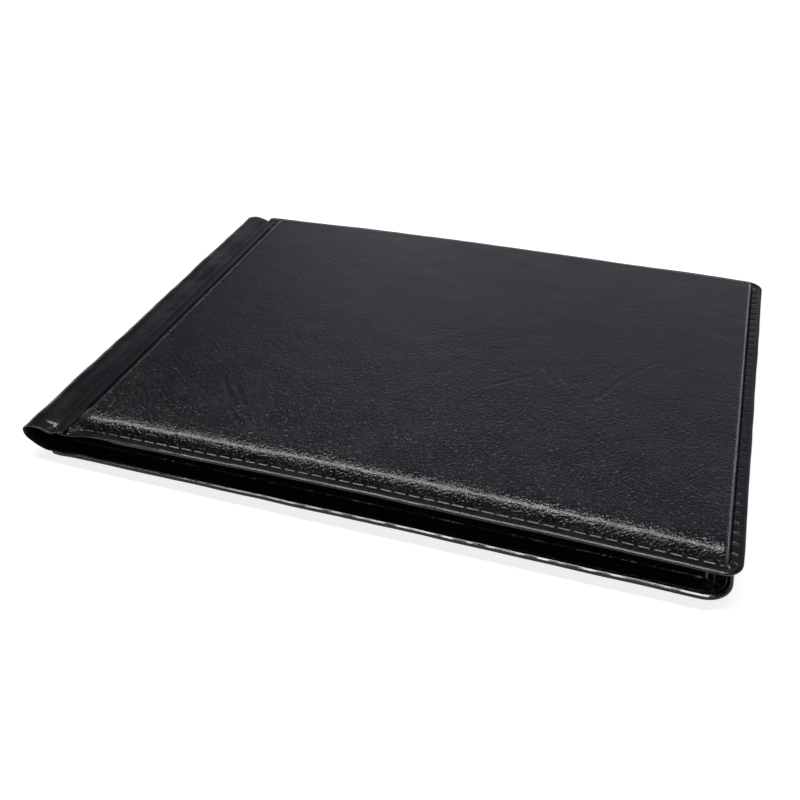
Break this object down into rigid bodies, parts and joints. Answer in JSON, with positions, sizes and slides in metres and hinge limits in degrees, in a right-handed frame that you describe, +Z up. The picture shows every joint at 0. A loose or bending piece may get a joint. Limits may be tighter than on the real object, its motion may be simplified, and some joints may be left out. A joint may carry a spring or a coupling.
{
  "type": "coin album",
  "caption": "Padded landscape coin album with a folded soft spine, stitched weld edges, stiff covers and clear pocket leaves for coins.",
  "frame": {"origin": "centre of the base of the closed album, which lies on its back cover", "axes": "+X from the spine to the fore edge, along the album's long side; +Y along the spine; +Z up through the front cover"},
  "size_m": [0.19, 0.145, 0.0132],
  "materials": {
    "cover_vinyl": "black grained padded vinyl, semi-gloss",
    "lining_vinyl": "black fine-grained vinyl lining, satin",
    "foam": "soft grey foam sheet",
    "greyboard": "matt pressed greyboard",
    "clear_film": "clear glossy film"
  },
  "bodies": {
    "back_cover": {"back_skin": "cover_vinyl", "back_foam_pad": "foam", "back_board": "greyboard", "back_lining": "lining_vinyl", "spine_skin_lower": "cover_vinyl", "spine_lining_lower": "lining_vinyl", "page_binding": "lining_vinyl"},
    "front_cover": {"front_skin": "cover_vinyl", "front_foam_pad": "foam", "front_board": "greyboard", "front_lining": "lining_vinyl", "spine_skin_upper": "cover_vinyl", "spine_lining_upper": "lining_vinyl"},
    "leaf_1": {"leaf_1_backing": "clear_film", "leaf_1_pockets": "clear_film"},
    "leaf_2": {"leaf_2_backing": "clear_film", "leaf_2_pockets": "clear_film"},
    "leaf_3": {"leaf_3_backing": "clear_film", "leaf_3_pockets": "clear_film"},
    "leaf_4": {"leaf_4_backing": "clear_film", "leaf_4_pockets": "clear_film"},
    "leaf_5": {"leaf_5_backing": "clear_film", "leaf_5_pockets": "clear_film"},
    "leaf_6": {"leaf_6_backing": "clear_film", "leaf_6_pockets": "clear_film"},
    "leaf_7": {"leaf_7_backing": "clear_film", "leaf_7_pockets": "clear_film"},
    "leaf_8": {"leaf_8_backing": "clear_film", "leaf_8_pockets": "clear_film"}
  },
  "joints": [
    {"name": "cover_open", "type": "hinge", "parent": "back_cover", "child": "front_cover", "pos_m": [-0.095, 0, 0.00662], "axis": [0, -1, 0], "range_deg": [0, 179.5]},
    {"name": "leaf_1_turn", "type": "hinge", "parent": "back_cover", "child": "leaf_1", "pos_m": [-0.0855, 0, 0.00637], "axis": [0, -1, 0], "range_deg": [0, 19.95]},
    {"name": "leaf_2_turn", "type": "hinge", "parent": "back_cover", "child": "leaf_2", "pos_m": [-0.0855, 0, 0.00637], "axis": [0, -1, 0], "range_deg": [0, 39.89]},
    {"name": "leaf_3_turn", "type": "hinge", "parent": "back_cover", "child": "leaf_3", "pos_m": [-0.0855, 0, 0.00637], "axis": [0, -1, 0], "range_deg": [0, 59.83]},
    {"name": "leaf_4_turn", "type": "hinge", "parent": "back_cover", "child": "leaf_4", "pos_m": [-0.0855, 0, 0.00637], "axis": [0, -1, 0], "range_deg": [0, 79.78]},
    {"name": "leaf_5_turn", "type": "hinge", "parent": "back_cover", "child": "leaf_5", "pos_m": [-0.0855, 0, 0.00637], "axis": [0, -1, 0], "range_deg": [0, 99.72]},
    {"name": "leaf_6_turn", "type": "hinge", "parent": "back_cover", "child": "leaf_6", "pos_m": [-0.0855, 0, 0.00637], "axis": [0, -1, 0], "range_deg": [0, 119.67]},
    {"name": "leaf_7_turn", "type": "hinge", "parent": "back_cover", "child": "leaf_7", "pos_m": [-0.0855, 0, 0.00637], "axis": [0, -1, 0], "range_deg": [0, 139.61]},
    {"name": "leaf_8_turn", "type": "hinge", "parent": "back_cover", "child": "leaf_8", "pos_m": [-0.0855, 0, 0.00637], "axis": [0, -1, 0], "range_deg": [0, 159.56]}
  ],
  "couplings": [
    {"joint": "leaf_1_turn", "follows": "cover_open", "ratio": 0.11111},
    {"joint": "leaf_2_turn", "follows": "cover_open", "ratio": 0.22222},
    {"joint": "leaf_3_turn", "follows": "cover_open", "ratio": 0.33333},
    {"joint": "leaf_4_turn", "follows": "cover_open", "ratio": 0.44444},
    {"joint": "leaf_5_turn", "follows": "cover_open", "ratio": 0.55556},
    {"joint": "leaf_6_turn", "follows": "cover_open", "ratio": 0.66667},
    {"joint": "leaf_7_turn", "follows": "cover_open", "ratio": 0.77778},
    {"joint": "leaf_8_turn", "follows": "cover_open", "ratio": 0.88889}
  ]
}
